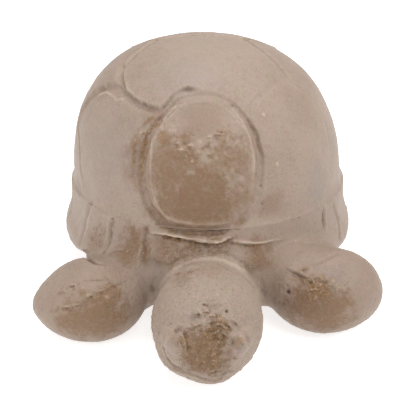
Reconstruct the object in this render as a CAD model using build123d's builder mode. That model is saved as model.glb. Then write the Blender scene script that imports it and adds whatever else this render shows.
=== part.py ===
from build123d import *
from math import cos, radians, sin
import os

os.makedirs("parts", exist_ok=True)

# Turtle figurine of hand-built clay, in millimetres.
# It looks along -Y, +Z is up, and +X is the turtle's own left side.
# The origin is the middle of the flat underside that it rests on.
# Every piece is a lump of clay of its own, pressed onto the lump that carries it.

# Shell: two bowls mouth to mouth. It leans back, with its front edge higher than its rear edge.
shell_half_width = 28.2
shell_half_length = 32.0
dome_height = 29.5
dome_fullness_share = 0.685
dome_slide_share = 0.04
seam_height = 17.5
shell_lean = 7.5
wall = 6.0

# Belly: the lower bowl, with a flat underside and a vent for the firing.
# Its underside is smaller than the shell by an inset at each side and at each end.
base_side_inset = 4.2
base_end_inset = 5.0
floor_thickness = 5.5
vent_radius = 3.0

# Rim band round the seam: the ledge that it gives the dome, then its round outer face.
rim_seat = 2.0
rim_lip = 0.4
rim_bulge = 2.1
rim_tuck = 1.2
rim_ground_gap = 2.0
rim_line_count = 16
rim_line_width = 1.3
rim_line_depth = 0.7

# Arches in the rim band's lower edge, over the neck and over the tail.
front_arch_overhang = 1.8
front_arch_headroom = 1.0
rear_arch_inset = 1.2
rear_arch_height = 8.0

# Shell plates, outlined by tooled grooves: one oval over the neck, and three along the back.
groove_width = 1.8
groove_depth = 0.9
oval_half_width = 11.8
oval_half_height = 12.8
oval_side = 1.2
oval_tilt = 38.0
oval_rise_share = 0.45
oval_forward_share = 0.92
# Each plate on the back: its front edge, its rear edge, its waist and the width of its ends.
back_plate_shares = ((-0.75, 0.11, 0.62, 0.30), (0.11, 0.50, 0.54, 0.34), (0.50, 0.80, 0.42, 0.24))

# Neck: a thick collar, its middle this far in front of the belly.
neck_half_width = 10.6
neck_half_height = 10.6
neck_half_length = 11.0
neck_reach = 1.5
neck_height = 9.3

# Head: an egg pressed into the neck, its sharp end drooping into a beak.
head_half_width = 10.4
head_half_height = 10.0
head_half_length = 12.4
head_tip_share = 0.46
head_sink = 5.5
head_height = 10.6
head_droop = 14.0
mouth_drop = 4.6
mouth_width = 0.8
mouth_depth = 0.7

# Eyes: almond mounds that lean in towards the beak.
eye_half_length = 4.0
eye_half_width = 2.1
eye_point_share = 0.4
eye_forward_share = 0.67
eye_out_share = 0.72
eye_clock = 33.0
eye_line_width = 0.6
eye_line_depth = 0.5

# Front feet: round lumps that lie across the ends of short legs.
front_foot_half_length = 11.2
front_foot_half_depth = 9.0
front_foot_half_height = 8.0
front_foot_tip_share = 0.5
front_foot_height = 7.6
front_foot_out = 23.0
front_foot_reaches = {"left": 3.8, "right": 6.9}
front_leg_half_width = 8.0
front_leg_half_height = 6.4
front_leg_height = 6.2

# Rear feet: smaller lumps of the same kind.
rear_foot_half_length = 10.0
rear_foot_half_depth = 7.6
rear_foot_half_height = 6.6
rear_foot_tip_share = 0.52
rear_foot_height = 6.0
rear_foot_out = 21.0
rear_foot_reach = 4.0
rear_leg_half_width = 7.0
rear_leg_half_height = 5.6
rear_leg_height = 5.4

# The middle of a leg lies this far along the way from the origin to its foot.
leg_middle_share = 0.75

# Tail: a short pointed roll of clay, its root pressed under the rim.
tail_half_width = 4.8
tail_half_height = 4.4
tail_half_length = 9.0
tail_tip_share = 0.36
tail_sink = 2.0
tail_height = 5.4
tail_droop = 12.0

# The handles of a curve that draws a quarter of an ellipse lie at this share.
round_share = 0.5523
# Cutters run this far past what they cut.
overrun = 10.0

base_half_width = shell_half_width - base_side_inset
base_half_length = shell_half_length - base_end_inset
rim_depth = seam_height - rim_ground_gap
shell_seat = Location((0, 0, seam_height), (-shell_lean, 0, 0))
turned_over = Location((0, 0, 0), (180, 0, 0))
sides = (("left", 1), ("right", -1))


def half_egg(half_width, half_depth, height, fullness_share):
    """Half an egg on the XY plane, its round end upwards. A larger share gives fuller sides."""
    with BuildPart() as form:
        with BuildSketch(Plane.XZ):
            with BuildLine():
                Bezier(
                    (0, height),
                    (fullness_share * half_width, height),
                    (half_width, fullness_share * height),
                    (half_width, 0),
                )
                Polyline((half_width, 0), (0, 0), (0, height))
            make_face()
        revolve(axis=Axis.Z)
        scale(by=(1, half_depth / half_width, 1))
    return form.part


def egg(half_width, half_depth, half_length, tip_share, root_share=round_share):
    """An egg along Z about the origin, its tip upwards. A smaller share gives a sharper end."""
    with BuildPart() as form:
        add(half_egg(half_width, half_depth, half_length, tip_share))
        with Locations(turned_over):
            add(half_egg(half_width, half_depth, half_length, root_share))
    return form.part


def bowl(inset, height):
    """A bowl of the dome's form, smaller than the shell by the inset."""
    return half_egg(shell_half_width - inset, shell_half_length - inset, height, dome_fullness_share)


def dome_form(inset):
    """The dome, smaller all round by the inset, its top slid towards the turtle's right."""
    slide = Matrix([[1, 0, -dome_slide_share, 0], [0, 1, 0, 0], [0, 0, 1, 0]])
    return bowl(inset, dome_height - inset).transform_geometry(slide)


def rim_form(inset):
    """The rim band with its middle filled, smaller all round by the inset."""
    top = shell_half_width + rim_lip - inset
    bulge = shell_half_width + rim_bulge - inset
    bottom = shell_half_width - rim_tuck - inset
    with BuildPart() as form:
        with BuildSketch(Plane.XZ):
            with BuildLine():
                ThreePointArc((top, 0), (bulge, -rim_depth / 2), (bottom, -rim_depth))
                Polyline((bottom, -rim_depth), (0, -rim_depth), (0, 0), (top, 0))
            make_face()
        revolve(axis=Axis.Z)
        scale(by=(1, shell_half_length / shell_half_width, 1))
    return form.part


def head_form(inset):
    """The head's egg, smaller all round by the inset."""
    return egg(head_half_width - inset, head_half_height - inset, head_half_length - inset, head_tip_share)


# Belly, whose outer form also cuts the pieces round it.
with BuildPart() as belly_form:
    with BuildSketch(Plane(shell_seat)):
        Ellipse(shell_half_width - rim_seat, shell_half_length - rim_seat)
    with BuildSketch(Plane.XY):
        Ellipse(base_half_width, base_half_length)
    loft()

with BuildPart() as belly:
    add(belly_form.part)
    with Locations(shell_seat * turned_over):
        add(bowl(wall, seam_height - floor_thickness), mode=Mode.SUBTRACT)
    Hole(vent_radius)
belly.part.label = "belly"
export_step(belly.part, "parts/belly.step")

# Grooves of the shell plates, as solids that reach out from the depth of the grooves.
oval_middle = Plane(
    origin=(-oval_side, -oval_forward_share * shell_half_length, oval_rise_share * dome_height),
    x_dir=(1, 0, 0),
    z_dir=(0, -cos(radians(oval_tilt)), sin(radians(oval_tilt))),
)
with BuildPart() as plate_grooves:
    with BuildSketch(oval_middle):
        Ellipse(oval_half_width, oval_half_height)
        Ellipse(oval_half_width - groove_width, oval_half_height - groove_width, mode=Mode.SUBTRACT)
    extrude(amount=dome_height / 2, both=True)
    for front_share, rear_share, waist_share, end_share in back_plate_shares:
        front = front_share * shell_half_length
        rear = rear_share * shell_half_length + groove_width
        middle = (front_share + rear_share) / 2 * shell_half_length
        waist = waist_share * shell_half_width
        end = end_share * shell_half_width
        with BuildSketch(Plane.XY):
            # The groove between two side plates runs straight out from the waist.
            with Locations((0, middle)):
                Rectangle(2 * (shell_half_width + overrun), groove_width)
            for inset, mode in ((0, Mode.ADD), (groove_width, Mode.SUBTRACT)):
                with BuildLine():
                    Polyline(
                        (end - inset, front + inset),
                        (waist - inset, middle),
                        (end - inset, rear - inset),
                        (inset - end, rear - inset),
                        (inset - waist, middle),
                        (inset - end, front + inset),
                        close=True,
                    )
                make_face(mode=mode)
        extrude(amount=dome_height + overrun)
    add(dome_form(groove_depth), mode=Mode.SUBTRACT)

with BuildPart() as shell_dome:
    with Locations(shell_seat):
        add(dome_form(0))
        add(dome_form(wall), mode=Mode.SUBTRACT)
        add(plate_grooves.part, mode=Mode.SUBTRACT)
shell_dome.part.label = "shell_dome"
export_step(shell_dome.part, "parts/shell_dome.step")

# Rim band before its lines are cut: this form also cuts the pieces round it.
with BuildPart() as rim_band:
    with Locations(shell_seat):
        add(rim_form(0))
    add(belly_form.part, mode=Mode.SUBTRACT)
    with BuildSketch(Plane.XZ):
        Ellipse(shell_half_width + front_arch_overhang, seam_height - front_arch_headroom)
    extrude(amount=shell_half_length + overrun, mode=Mode.SUBTRACT)
    with BuildSketch(Plane.XZ):
        Ellipse(shell_half_width - rear_arch_inset, rear_arch_height)
    extrude(amount=-shell_half_length - overrun, mode=Mode.SUBTRACT)
    split(bisect_by=Plane.XY, keep=Keep.TOP)

# Lines across the rim band, as thin walls that reach out from the depth of the lines.
with BuildPart() as rim_lines:
    with BuildSketch(Plane.XY):
        with PolarLocations(0, rim_line_count, start_angle=180 / rim_line_count):
            Rectangle(shell_half_length + overrun, rim_line_width, align=(Align.MIN, Align.CENTER))
    extrude(amount=-rim_depth)
    add(rim_form(rim_line_depth), mode=Mode.SUBTRACT)

with BuildPart() as shell_rim:
    add(rim_band.part)
    with Locations(shell_seat):
        add(rim_lines.part, mode=Mode.SUBTRACT)
shell_rim.part.label = "shell_rim"
export_step(shell_rim.part, "parts/shell_rim.step")

# Head, with its mouth line cut under the beak.
neck_front = base_half_length + neck_reach + neck_half_length
head_seat = Plane(
    origin=(0, head_sink - neck_front - head_half_length, head_height),
    x_dir=(1, 0, 0),
    z_dir=(0, -cos(radians(head_droop)), -sin(radians(head_droop))),
)
with BuildPart() as mouth_line:
    with Locations((0, -mouth_drop, head_half_length / 2)):
        Box(2 * head_half_width, mouth_width, head_half_length)
    add(head_form(mouth_depth), mode=Mode.SUBTRACT)

with BuildPart() as head:
    with Locations(head_seat):
        add(head_form(0))
        add(mouth_line.part, mode=Mode.SUBTRACT)
    split(bisect_by=Plane.XY, keep=Keep.TOP)
head.part.label = "head"
export_step(head.part, "parts/head.step")

neck_middle = Plane(
    origin=(0, -base_half_length - neck_reach, neck_height),
    x_dir=(1, 0, 0),
    z_dir=(0, -1, 0),
)
with BuildPart() as neck_collar:
    with Locations(neck_middle):
        add(egg(neck_half_width, neck_half_height, neck_half_length, round_share))
    split(bisect_by=Plane.XY, keep=Keep.TOP)
    add(belly_form.part, mode=Mode.SUBTRACT)
    add(rim_band.part, mode=Mode.SUBTRACT)
    add(head.part, mode=Mode.SUBTRACT)
neck_collar.part.label = "neck_collar"
export_step(neck_collar.part, "parts/neck_collar.step")

# Eyes, half sunk in the head, each with a line along its crest.
with BuildPart() as almond:
    add(egg(eye_half_width, eye_half_width, eye_half_length, eye_point_share, eye_point_share))
    with Locations((eye_half_width, 0, 0)):
        Box(2 * eye_line_depth, eye_line_width, 2 * eye_half_length, mode=Mode.SUBTRACT)

for side_name, side in sides:
    eye_centre = Vector(
        side * eye_out_share * head_half_width * cos(radians(eye_clock)),
        eye_out_share * head_half_height * sin(radians(eye_clock)),
        eye_forward_share * head_half_length,
    )
    outwards = eye_centre.normalized()
    across = outwards.cross(Vector(0, 0, 1)).normalized()
    eye_seat = Plane(origin=eye_centre, x_dir=outwards, z_dir=outwards.cross(across))
    with BuildPart() as eye:
        with Locations(head_seat.location * eye_seat.location):
            add(almond.part)
        add(head.part, mode=Mode.SUBTRACT)
    eye.part.label = f"eye_{side_name}"
    export_step(eye.part, f"parts/eye_{side_name}.step")


def limb(foot_centre, foot_form, leg_height, leg_form):
    """A foot that points straight out sideways, on a leg that comes from under the shell."""
    leg_middle = foot_centre * leg_middle_share
    foot_middle = Plane(origin=foot_centre, x_dir=(0, 0, 1), z_dir=(foot_centre.X, 0, 0))
    leg_line = Plane(
        origin=(leg_middle.X, leg_middle.Y, leg_height),
        x_dir=(0, 0, 1),
        z_dir=(foot_centre.X, foot_centre.Y, 0),
    )
    with BuildPart() as form:
        with Locations(foot_middle):
            add(foot_form)
        with Locations(leg_line):
            add(leg_form)
        split(bisect_by=Plane.XY, keep=Keep.TOP)
    return form.part


front_foot_form = egg(
    front_foot_half_height,
    front_foot_half_depth,
    front_foot_half_length,
    front_foot_tip_share,
)
front_leg_form = egg(front_leg_half_height, front_leg_half_width, front_foot_half_length, round_share)
for side_name, side in sides:
    forward = base_half_length + front_foot_reaches[side_name]
    foot_centre = Vector(side * front_foot_out, -forward, front_foot_height)
    with BuildPart() as front_foot:
        add(limb(foot_centre, front_foot_form, front_leg_height, front_leg_form))
        add(belly_form.part, mode=Mode.SUBTRACT)
        add(rim_band.part, mode=Mode.SUBTRACT)
        add(head.part, mode=Mode.SUBTRACT)
        add(neck_collar.part, mode=Mode.SUBTRACT)
    front_foot.part.label = f"front_{side_name}_foot"
    export_step(front_foot.part, f"parts/front_{side_name}_foot.step")

rear_foot_form = egg(
    rear_foot_half_height,
    rear_foot_half_depth,
    rear_foot_half_length,
    rear_foot_tip_share,
)
rear_leg_form = egg(rear_leg_half_height, rear_leg_half_width, rear_foot_half_length, round_share)
for side_name, side in sides:
    foot_centre = Vector(side * rear_foot_out, base_half_length + rear_foot_reach, rear_foot_height)
    with BuildPart() as rear_foot:
        add(limb(foot_centre, rear_foot_form, rear_leg_height, rear_leg_form))
        add(belly_form.part, mode=Mode.SUBTRACT)
        add(rim_band.part, mode=Mode.SUBTRACT)
    rear_foot.part.label = f"rear_{side_name}_foot"
    export_step(rear_foot.part, f"parts/rear_{side_name}_foot.step")

tail_middle = Plane(
    origin=(0, base_half_length + tail_half_length - tail_sink, tail_height),
    x_dir=(1, 0, 0),
    z_dir=(0, cos(radians(tail_droop)), -sin(radians(tail_droop))),
)
with BuildPart() as tail:
    with Locations(tail_middle):
        add(egg(tail_half_width, tail_half_height, tail_half_length, tail_tip_share))
    split(bisect_by=Plane.XY, keep=Keep.TOP)
    add(belly_form.part, mode=Mode.SUBTRACT)
    add(rim_band.part, mode=Mode.SUBTRACT)
tail.part.label = "tail"
export_step(tail.part, "parts/tail.step")
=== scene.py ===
import math

import bmesh
import bpy
import numpy as np
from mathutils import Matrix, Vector, noise


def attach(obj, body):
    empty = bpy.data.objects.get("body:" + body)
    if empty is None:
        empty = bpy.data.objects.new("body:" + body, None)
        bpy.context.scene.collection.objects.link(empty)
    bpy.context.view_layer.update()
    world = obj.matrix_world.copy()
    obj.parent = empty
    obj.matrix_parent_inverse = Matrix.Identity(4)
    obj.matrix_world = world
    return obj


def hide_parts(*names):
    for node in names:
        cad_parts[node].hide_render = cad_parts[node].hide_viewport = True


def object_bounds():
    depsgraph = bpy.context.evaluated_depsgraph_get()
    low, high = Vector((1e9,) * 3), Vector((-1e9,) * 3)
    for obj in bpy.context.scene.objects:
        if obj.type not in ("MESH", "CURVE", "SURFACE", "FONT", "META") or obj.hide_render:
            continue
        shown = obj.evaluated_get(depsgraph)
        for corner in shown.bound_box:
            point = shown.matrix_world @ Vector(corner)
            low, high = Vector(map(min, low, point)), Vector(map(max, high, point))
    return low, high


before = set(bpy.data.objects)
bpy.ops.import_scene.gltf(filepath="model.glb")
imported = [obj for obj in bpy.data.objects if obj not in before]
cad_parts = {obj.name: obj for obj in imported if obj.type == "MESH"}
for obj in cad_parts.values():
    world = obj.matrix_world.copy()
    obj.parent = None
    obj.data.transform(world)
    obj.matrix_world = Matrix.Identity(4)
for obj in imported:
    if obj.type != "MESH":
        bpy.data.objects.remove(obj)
cad_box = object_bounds()

# Turtle figurine of hand-built clay. Shapes are worked out in millimetres, and meshes are made in metres.
# It looks along -Y with +Z up. +X is the turtle's own left, which is the right side of the photograph.
MILLIMETRE = 0.001

# Shell, its rim band and its belly.
shell_half_width = 28.2
shell_half_length = 32.0
dome_height = 29.5
dome_fullness_share = 0.685
dome_slide_share = 0.04
seam_height = 17.5
shell_lean = math.radians(7.5)
wall = 6.0
rim_seat = 2.0
rim_lip = 0.2
rim_bulge = 2.3
rim_bulge_drop = 1.4
rim_tuck = 1.2
rim_depth = 15.5
rim_foot_round = 1.6
arch_round = 1.8
front_arch = (30.0, 16.5)
rear_arch = (27.0, 8.0)
base_half_width = 24.0
base_half_length = 27.0
belly_overrun_share = 1.2
floor_thickness = 5.5
vent_radius = 3.0

# A curve with its handles at this share draws a round lump. A smaller share draws a sharper one.
round_share = 0.5523

# A leg's middle lies at this share of the way from the shell's middle to its foot.
leg_place_share = 0.75

# Smeared clay: how wide each lump's join with the lumps before it is, on the body and on the neck.
body_joins = {
    "belly": 0.0,
    "rim": 1.2,
    "dome": 2.6,
    "front_left_foot": 4.6,
    "front_right_foot": 3.2,
    "rear_left_foot": 2.6,
    "rear_right_foot": 2.6,
    "tail": 2.4,
}
limb_join = 3.0
face_join = 0.8
neck_joins = {"neck_collar": 0.0, "head": 3.0, "eye_left": 1.6, "eye_right": 1.6}
# The neck's join with the body: tight in front, wide behind, and narrower on the turtle's right.
tight_join, wide_join, right_join_share = 0.8, 4.4, 0.7
tight_front, wide_back = -42.0, -33.0
underside_round = 1.1
# No ray from inside these pieces goes further than this.
furthest_shell, furthest_hollow, furthest_belly, furthest_band = 45, 40, 44, 14
# Every ray starts this far from its place, and so many steps look for the end of those that cross the band.
ray_start = 0.2
band_steps = 60
# A piece runs this far under its neighbour, and this much below the neighbour's skin.
tuck_under = 0.5
tuck_depth = 0.1

# The photograph's camera, in millimetres: 28 degrees down, a little over a quarter of a metre away.
camera_place = np.array((0.1, -242.5, 140.0))
camera_aim = np.array((0.1, 0.0, 9.5))
camera_lens = 110.16
sensor_width = 36.0
picture_width = 416
# No clay is nearer to the camera than this, and none is deeper behind that than this.
nearest_clay = 195.0
deepest_clay = 140

# Each plate on the back, as shares of the shell's half sizes: front edge, rear edge, waist and ends.
back_plate_shares = ((-0.75, 0.14, 0.60, 0.30), (0.14, 0.53, 0.52, 0.34), (0.53, 0.83, 0.40, 0.24))
# Lines across the rim band that the photograph doesn't show, in degrees from the front.
rim_line_angles = (-77, -98, -120, -142, -164, 176, 155, 133, 111, 90, 50)
# How far down the band they go, which is less over the tail's arch.
side_line_drops = (0.8, 4, 8, 12)
rear_line_drops = (0.8, 4, 7)
rear_arch_angle = 150
# How these lines were worked, how worn the first plate's front edge is, and how far out the side lines go.
plate_line = dict(width=0.7, depth=0.5, lips=(0.1, 0.1), rust=(0.25, 0.25))
rim_line = dict(width=0.5, depth=0.45, lips=(0.12, 0.05), rust=(0.2, 0.3))
worn_share = 0.15
plate_reach_share = 0.97

# How the clay is finished: the traces that the materials read, which carry painted shade and painted
# highlights as well as the clay's own colours, and how far hands and fire move the skin.
trace_names = ("hollow", "rust", "burr", "warmth", "coolness", "paleness")
surface_drop = -0.15
large_lumps, middling_lumps, fine_lumps, tiny_lumps = 9.0, 2.6, 0.8, 0.42
large_lift, middling_lift, fine_lift, tiny_lift = 0.1, 0.06, 0.022, 0.012
crumbly_fine_lift, crumbly_tiny_lift = 0.2, 0.12
sharp_edge = math.radians(55)
# How much grittier than the shell the skin of these lumps is.
grittinesses = {"dome": 1.3, "head": 6.0, "rim": 2.5, "front_left_foot": 3.0, "front_right_foot": 2.2}
# The crease between pressed lumps: how deep and how wide it is, and how much shade is painted into it.
crease_depth, crease_width, crease_dirt = 0.05, 0.5, 0.2
step_reach = 2.6
figurine_box = [np.array(corner) / MILLIMETRE for corner in cad_box]
grains_per_square_metre = 1500000.0
grain_sizes = (0.05, 0.16)
grain_seed = 7
# The share of the grains that stick to plain clay, to crumbly clay and to a burr.
plain_share, crumbly_share, burr_share = 0.02, 0.28, 0.2


def unit(vectors):
    """The vector, or each row of vectors, at a length of one."""
    vectors = np.array(vectors, float)
    return vectors / np.maximum(np.linalg.norm(vectors, axis=-1, keepdims=True), 1e-9)


def smooth_min(a, b, width):
    """The nearer of two lumps, with clay smeared into the corner between them."""
    share = np.maximum(width - np.abs(a - b), 0) / np.maximum(width, 1e-9)
    return np.minimum(a, b) - share * share * width / 4


def smooth_max(a, b, width):
    """What two forms have in common, with its edge rounded."""
    return -smooth_min(-a, -b, width)


class Egg:
    """A lump of clay. Its axes and half sizes are across, up and towards its tip."""

    def __init__(self, middle, tip, halves, tip_share=round_share, root_share=round_share,
                 across=(1, 0, 0), slide=0.0):
        self.middle = np.array(middle, float)
        across, tip = unit(across), unit(tip)
        self.axes = np.array((across, np.cross(tip, across), tip))
        self.halves = halves
        self.slide = slide
        self.powers = [math.log(0.5) / math.log(0.5 + 0.375 * share) for share in (tip_share, root_share)]

    def local(self, points):
        return (points - self.middle) @ self.axes.T

    def world(self, points):
        return points @ self.axes + self.middle

    def depth(self, points):
        """How far outside the lump each point is, and less than zero inside."""
        x, y, z = self.local(points).T
        x = x + self.slide * z
        power = np.where(z > 0, *self.powers)
        ring = np.hypot(x / self.halves[0], y / self.halves[1])
        size = (ring**power + np.abs(z / self.halves[2]) ** power) ** (1 / power)
        return np.sqrt(x * x + y * y + z * z) * (1 - 1 / np.maximum(size, 1e-6))


forward = (0, -1, 0)
upward = (0, 0, 1)
shell_up = np.array((0, math.sin(shell_lean), math.cos(shell_lean)))


def dome_form(inset=0.0):
    """The upper bowl's outside, or the same form this far inside it."""
    halves = (shell_half_width - inset, shell_half_length - inset, dome_height - inset)
    return Egg((0, 0, seam_height), shell_up, halves, dome_fullness_share, slide=dome_slide_share)


shell = dome_form()


class Belly:
    """The lower bowl's outside: it widens from its flat underside to the shell's seam."""

    def depth(self, points):
        x, y, z = points.T
        share = np.clip(z / (seam_height - y * math.tan(shell_lean)), 0, belly_overrun_share)
        half_width = base_half_width + (shell_half_width - rim_seat - base_half_width) * share
        half_length = base_half_length + (shell_half_length - rim_seat - base_half_length) * share
        side = (np.hypot(x / half_width, y / half_length) - 1) * base_half_width
        return np.maximum(side, shell.local(points)[:, 2])


class RimBand:
    """The band round the seam, bulging outwards, with an arch cut over the neck and over the tail."""

    def depth(self, points):
        x, y, z = shell.local(points).T
        down = np.clip(-z / rim_depth, 0, 1)
        ring = np.hypot(x, y * shell_half_width / shell_half_length) - shell_half_width
        swell = np.sin(math.pi * down**rim_bulge_drop) ** 2
        outline = rim_lip + (rim_bulge - rim_lip) * swell - (rim_tuck + rim_lip) * down**6
        arches = []
        for half_width, height in (front_arch, rear_arch):
            arches.append((1 - np.hypot(points[:, 0] / half_width, points[:, 2] / height)) * height)
        arch = np.where(points[:, 1] < 0, *arches)
        band = smooth_max(ring - outline, -z - rim_depth, rim_foot_round)
        return np.maximum(smooth_max(band, arch, arch_round), z)


class Lumps:
    """Several lumps that make one piece, smeared together."""

    def __init__(self, width, *members):
        self.width = width
        self.members = members

    def depth(self, points):
        total = self.members[0].depth(points)
        for member in self.members[1:]:
            total = smooth_min(total, member.depth(points), self.width)
        return total


class Facet:
    """A lump with one side pressed flat."""

    def __init__(self, lump, place, outwards, width):
        self.lump = lump
        self.place = np.array(place, float)
        self.outwards = unit(outwards)
        self.width = width

    def depth(self, points):
        return smooth_max(self.lump.depth(points), (points - self.place) @ self.outwards, self.width)


def limb(side, foot_middle, foot_halves, tip_share, leg_height, leg_halves):
    """A foot that points straight out sideways, on a leg that comes from under the shell."""
    x, y, z = side * foot_middle[0], foot_middle[1], foot_middle[2]
    foot = Egg((x, y, z), (side, 0, 0), foot_halves, tip_share, across=upward)
    leg_place = (leg_place_share * x, leg_place_share * y, leg_height)
    leg = Egg(leg_place, (x, y, 0), leg_halves, across=upward)
    return Lumps(limb_join, foot, leg)


head_droop = math.radians(14)
head_tip = (0, -math.cos(head_droop), -math.sin(head_droop))
head = Egg((0, -46.4, 10.6), head_tip, (10.4, 10.0, 12.4), 0.49)
jaw = Egg(head.world(np.array((-1.0, -2.2, 2.9))), head_tip, (8.4, 3.7, 8.0), 0.63, 0.63)
beak = Egg(head.world(np.array((0.8, -3.0, 9.3))), head_tip, (4.0, 2.0, 2.4), 0.5)
# The eyes: their places across, up and towards the head's tip, how deep they sink, and their half sizes.
eye_clock = math.radians(33)
eye_place = (7.49 * math.cos(eye_clock), 7.2 * math.sin(eye_clock), 8.31)
eye_sunk = 0.35
eye_halves = (1.6, 2.0, 3.7)


def eye(side):
    """An almond mound, half sunk in the head, that leans in towards the beak."""
    middle = np.array(eye_place) * (side, 1, 1)
    outwards = unit(middle)
    along = np.cross(outwards, np.cross(outwards, upward))
    middle = head.world(middle - eye_sunk * outwards)
    return Egg(middle, along @ head.axes, eye_halves, 0.4, 0.4, across=outwards @ head.axes)


front_foot_sizes = ((8.0, 9.0, 11.2), 0.5, 6.2, (6.4, 8.0, 11.2))
rear_foot_sizes = ((6.6, 7.6, 10.0), 0.52, 5.4, (5.6, 7.0, 10.0))
front_left_foot = limb(1, (23.0, -30.8, 7.6), *front_foot_sizes)
front_left_foot.members += (Egg((25.6, -29.2, 7.6), forward, (7.6, 6.9, 7.2)),)
front_right_foot = limb(-1, (23.0, -33.9, 7.6), *front_foot_sizes)
front_right_foot = Facet(front_right_foot, (-29.3, -34.0, 12.0), (-0.62, -0.15, 0.77), 2.0)
# A web of clay on each side of the neck, which belongs to the belly.
left_web = Egg((13.5, -26.0, 11.6), forward, (7.0, 5.8, 7.0))
right_web = Egg((-13.5, -26.0, 11.2), forward, (6.6, 5.6, 6.6))
tail_droop = math.radians(12)
tail_tip = (0, math.cos(tail_droop), -math.sin(tail_droop))
lumps = {
    "belly": Lumps(limb_join, Belly(), left_web, right_web),
    "rim": RimBand(),
    "dome": shell,
    "front_left_foot": front_left_foot,
    "front_right_foot": front_right_foot,
    "rear_left_foot": limb(1, (21.0, 31.0, 6.0), *rear_foot_sizes),
    "rear_right_foot": limb(-1, (21.0, 31.0, 6.0), *rear_foot_sizes),
    "neck_collar": Egg((0, -28.5, 9.3), forward, (10.6, 10.6, 11.0)),
    "head": Lumps(face_join, head, jaw, beak),
    "eye_left": eye(1),
    "eye_right": eye(-1),
    "tail": Egg((0, 34.0, 5.4), tail_tip, (4.8, 4.4, 9.0), 0.36),
}
# Where two lumps meet, the one that comes first here keeps its form, and the other is pressed against it.
firmness = ("belly", "rim", "head", "neck_collar", "front_right_foot", "front_left_foot",
            "rear_left_foot", "rear_right_foot", "tail", "eye_left", "eye_right")


def smeared(points, names, joins):
    """How far each point is outside the lumps of one group, smeared together."""
    total = None
    for name, width in joins.items():
        if name in names:
            depth = lumps[name].depth(points)
            total = depth if total is None else smooth_min(total, depth, width)
    return total


def skin(points, names):
    """How far each point is outside the whole figurine, near these lumps."""
    total = smeared(points, names, body_joins)
    neck = smeared(points, names, neck_joins)
    if total is None:
        total = neck
    elif neck is not None:
        x, y, z = points.T
        behind = np.clip((y - tight_front) / (wide_back - tight_front), 0, 1)
        width = tight_join + (wide_join - tight_join) * behind * np.where(x < 0, right_join_share, 1)
        total = smooth_min(total, neck, width)
    return smooth_max(total, -points[:, 2], underside_round)


def share_of_clay(points, name, names):
    """Less than zero where the clay belongs to this lump, and more where it belongs to a neighbour."""
    above_seam = shell.local(points)[:, 2]
    if name == "dome":
        return -above_seam
    own = lumps[name].depth(points)
    total = above_seam if name in ("belly", "rim") else np.full(len(points), -99.0)
    for other in names:
        if other in (name, "dome"):
            continue
        theirs = lumps[other].depth(points)
        if firmness.index(other) < firmness.index(name):
            total = np.maximum(total, np.maximum(own, 0) - theirs)
        else:
            total = np.maximum(total, own - np.maximum(theirs, 0))
    return total


def outside_piece(name, names):
    """A function that says how far a point is outside one finished piece."""
    tuck = 0 if name == "dome" else tuck_under

    def depth(points):
        share = share_of_clay(points, name, names)
        below = tuck_depth * np.clip(share / tuck_under, 0, 1)
        return np.maximum(skin(points, names) + below, share - tuck)

    return depth


def reach(starts, directions, depth, furthest, steps=30, halvings=12):
    """The points where rays from one place, or from one place each, first leave a form."""
    near = np.full(len(directions), ray_start)
    far = np.full(len(directions), float(furthest))
    inside = np.ones(len(directions), bool)
    for distance in np.linspace(ray_start, furthest, steps)[1:]:
        left = inside & (depth(starts + directions * distance) > 0)
        far[left] = distance
        inside &= ~left
        near[inside] = distance
    for _ in range(halvings):
        middle = (near + far) / 2
        left = depth(starts + directions * middle[:, None]) > 0
        far = np.where(left, middle, far)
        near = np.where(left, near, middle)
    return starts + directions * near[:, None]


def facing(points, names):
    """Which way the figurine's skin faces at each point."""
    step = 0.05
    slopes = [skin(points + step * axis, names) - skin(points - step * axis, names) for axis in np.eye(3)]
    return unit(np.stack(slopes, axis=1))


def unevenness(points, size, seed, octaves=3):
    """Smooth random unevenness from about -1 to 1, its largest lumps of about this size."""
    scaled = points / size + seed * 17.31
    return np.array([noise.fractal(point, 1.0, 2.0, octaves) for point in scaled])


def eased(values, low, high):
    """A smooth rise from 0 at the low value to 1 at the high one."""
    share = np.clip((values - low) / (high - low), 0, 1)
    return share * share * (3 - 2 * share)


def seen_at(pixels, names):
    """The places on the skin that the camera sees at these pixels of the photograph."""
    aim = unit(camera_aim - camera_place)
    right = np.array((1.0, 0.0, 0.0))
    up = np.cross(right, aim)
    focal_pixels = camera_lens / sensor_width * picture_width
    x, y = (np.array(pixels, float) - picture_width / 2).T / focal_pixels
    directions = unit(aim + x[:, None] * right - y[:, None] * up)
    starts = camera_place + directions * nearest_clay
    return reach(starts, directions, lambda points: -skin(points, names), deepest_clay, steps=200)


def on_dome(plan):
    """The places on the dome over these points of its plan."""
    x, y = np.array(plan, float).T
    power = shell.powers[0]
    ring = np.minimum(np.hypot(x / shell_half_width, y / shell_half_length), 1)
    z = dome_height * (1 - ring**power) ** (1 / power)
    return shell.world(np.column_stack((x - dome_slide_share * z, y, z)))


def on_rim(angle, drops):
    """The places on the rim band at this many degrees from the front, this far below the seam."""
    turn = math.radians(angle)
    starts = shell.world(np.array([(0, 0, -drop) for drop in drops], float))
    outward = np.array((math.sin(turn), -math.cos(turn), 0)) @ shell.axes
    directions = np.tile(outward, (len(starts), 1))
    outside = lambda points: skin(points, ("belly", "rim"))
    return reach(starts, directions, outside, furthest_shell, band_steps)


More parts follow.
